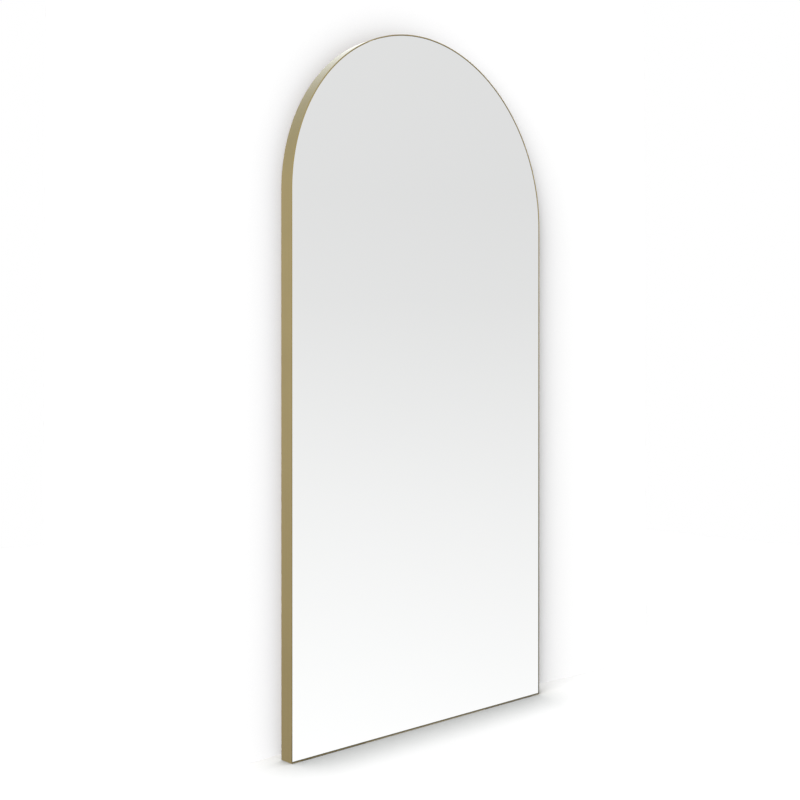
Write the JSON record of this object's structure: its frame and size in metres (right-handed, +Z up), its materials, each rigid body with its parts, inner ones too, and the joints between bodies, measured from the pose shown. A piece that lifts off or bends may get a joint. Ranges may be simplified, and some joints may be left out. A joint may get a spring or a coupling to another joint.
{
  "type": "arched floor mirror",
  "caption": "Tall arched mirror in a slim brushed-brass band, with a timber-stiffened back, hinged D-ring hangers and rubber wall bumpers, made to stand on the floor against a wall.",
  "frame": {"origin": "on the floor, under the middle of the whole mirror's box", "axes": "+Z up along the mirror's height, +X to the right seen from the front, glass facing -Y and wall bumpers facing +Y"},
  "size_m": [0.9, 0.043, 1.8],
  "materials": {
    "brushed_brass": "brushed steel strip with a satin olive-gold brass finish",
    "mirror": "clear silvered glass with ground edges",
    "film": "grey woven safety film",
    "adhesive": "pale foam mounting tape",
    "board": "raw fibreboard",
    "timber": "planed softwood",
    "zinc_steel": "bright zinc-plated steel",
    "screw_steel": "zinc-plated screws",
    "rubber": "matt black rubber"
  },
  "bodies": {
    "mirror": {"frame_band": "brushed_brass", "frame_bottom_bar": "brushed_brass", "mirror_glass": "mirror", "safety_film": "film", "backing_board": "board", "adhesive_strip_1": "adhesive", "adhesive_strip_2": "adhesive", "adhesive_strip_3": "adhesive", "adhesive_strip_4": "adhesive", "setting_pad_left": "rubber", "setting_pad_right": "rubber", "floor_strip_left": "rubber", "floor_strip_right": "rubber", "bumper_low_left": "rubber", "bumper_low_right": "rubber", "bumper_top_left": "rubber", "bumper_top_right": "rubber", "stile_left": "timber", "stile_right": "timber", "rail_bottom": "timber", "rail_middle": "timber", "rail_top": "timber", "crown_block": "timber", "fixing_lug_1": "zinc_steel", "fixing_lug_2": "zinc_steel", "fixing_lug_3": "zinc_steel", "fixing_lug_4": "zinc_steel", "fixing_lug_5": "zinc_steel", "fixing_lug_6": "zinc_steel", "fixing_lug_7": "zinc_steel", "fixing_lug_8": "zinc_steel", "corner_gusset_left": "zinc_steel", "corner_gusset_right": "zinc_steel", "hanger_strap_left": "zinc_steel", "hanger_strap_right": "zinc_steel", "lug_screw_1": "screw_steel", "lug_screw_2": "screw_steel", "lug_screw_3": "screw_steel", "lug_screw_4": "screw_steel", "lug_screw_5": "screw_steel", "lug_screw_6": "screw_steel", "lug_screw_7": "screw_steel", "lug_screw_8": "screw_steel", "hanger_screw_left_1": "screw_steel", "hanger_screw_left_2": "screw_steel", "hanger_screw_right_1": "screw_steel", "hanger_screw_right_2": "screw_steel", "bumper_screw_low_left": "screw_steel", "bumper_screw_low_right": "screw_steel", "bumper_screw_top_left": "screw_steel", "bumper_screw_top_right": "screw_steel"},
    "ring_left": {"d_ring_left": "zinc_steel"},
    "ring_right": {"d_ring_right": "zinc_steel"}
  },
  "joints": [
    {"name": "ring_left_swing", "type": "hinge", "parent": "mirror", "child": "ring_left", "pos_m": [-0.395, 0.01425, 1.245], "axis": [1, 0, 0], "range_deg": [0, 180]},
    {"name": "ring_right_swing", "type": "hinge", "parent": "mirror", "child": "ring_right", "pos_m": [0.395, 0.01425, 1.245], "axis": [1, 0, 0], "range_deg": [0, 180]}
  ]
}
